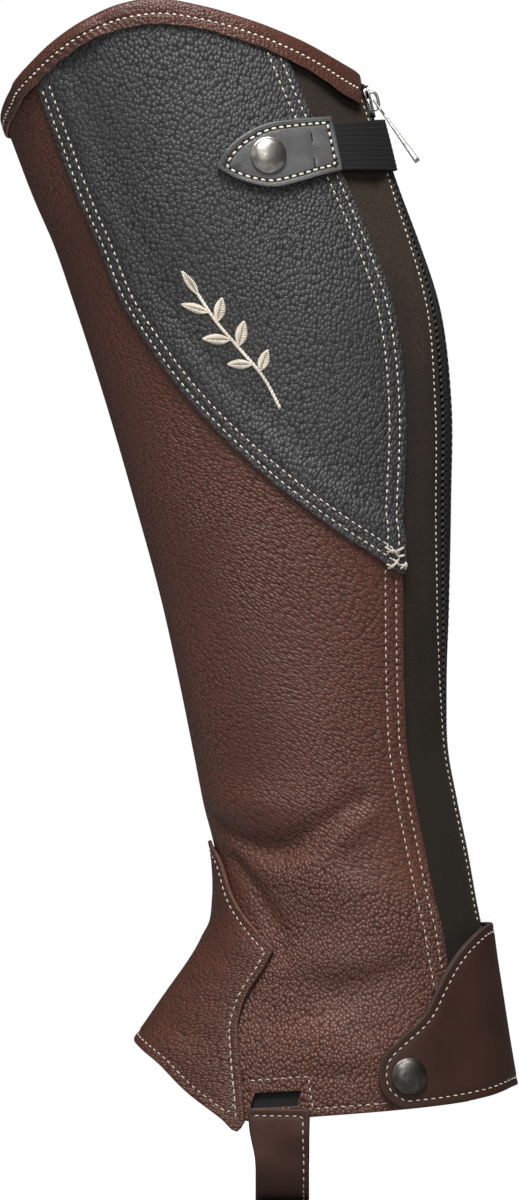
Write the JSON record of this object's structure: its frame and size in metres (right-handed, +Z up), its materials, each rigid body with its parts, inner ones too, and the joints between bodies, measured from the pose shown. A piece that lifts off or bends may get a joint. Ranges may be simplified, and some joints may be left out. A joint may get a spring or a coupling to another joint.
{
  "type": "half chap",
  "caption": "Leather half chap for a left lower leg, worn shape, with yoke, stretch gusset, back zip, snapped calf tab and ankle flap, and a strap under the foot.",
  "frame": {"origin": "middle of the hollow at the calf, where the wearer's leg holds the half chap up", "axes": "+Z up, +X to the back where the zip is, -X to the shin and toes, -Y to the outer side of the left leg, +Y to the inner side"},
  "size_m": [0.2069, 0.1235, 0.4785],
  "materials": {
    "brown_pebbled_leather": "pebbled, soft sheen",
    "brown_smooth_leather": "smooth, soft sheen",
    "black_pebbled_leather": "pebbled, soft sheen",
    "black_smooth_leather": "smooth, soft sheen",
    "gusset_cloth": "matt stretch cloth",
    "black_webbing": "ribbed elastic",
    "zip_cloth": "woven tape",
    "zip_teeth": "moulded",
    "bright_metal": "polished",
    "dull_metal": "antique nickel"
  },
  "bodies": {
    "chap": {"main_panel": "brown_pebbled_leather", "yoke": "black_pebbled_leather", "gusset": "gusset_cloth", "zip_tape": "zip_cloth", "zip_chain": "zip_teeth", "zip_slider": "bright_metal", "top_binding": "brown_smooth_leather", "instep": "brown_pebbled_leather", "ankle_flap": "brown_smooth_leather", "ankle_snap": "dull_metal", "calf_tab": "black_smooth_leather", "calf_snap": "dull_metal", "calf_elastic": "black_webbing", "strap_elastic": "black_webbing", "foot_strap": "brown_smooth_leather"},
    "pull": {"zip_pull": "bright_metal"}
  },
  "joints": [
    {"name": "pull_hinge", "type": "hinge", "parent": "chap", "child": "pull", "pos_m": [0.04966, -0.00424, 0.0756], "axis": [0, -1, 0], "range_deg": [0, 120]}
  ]
}
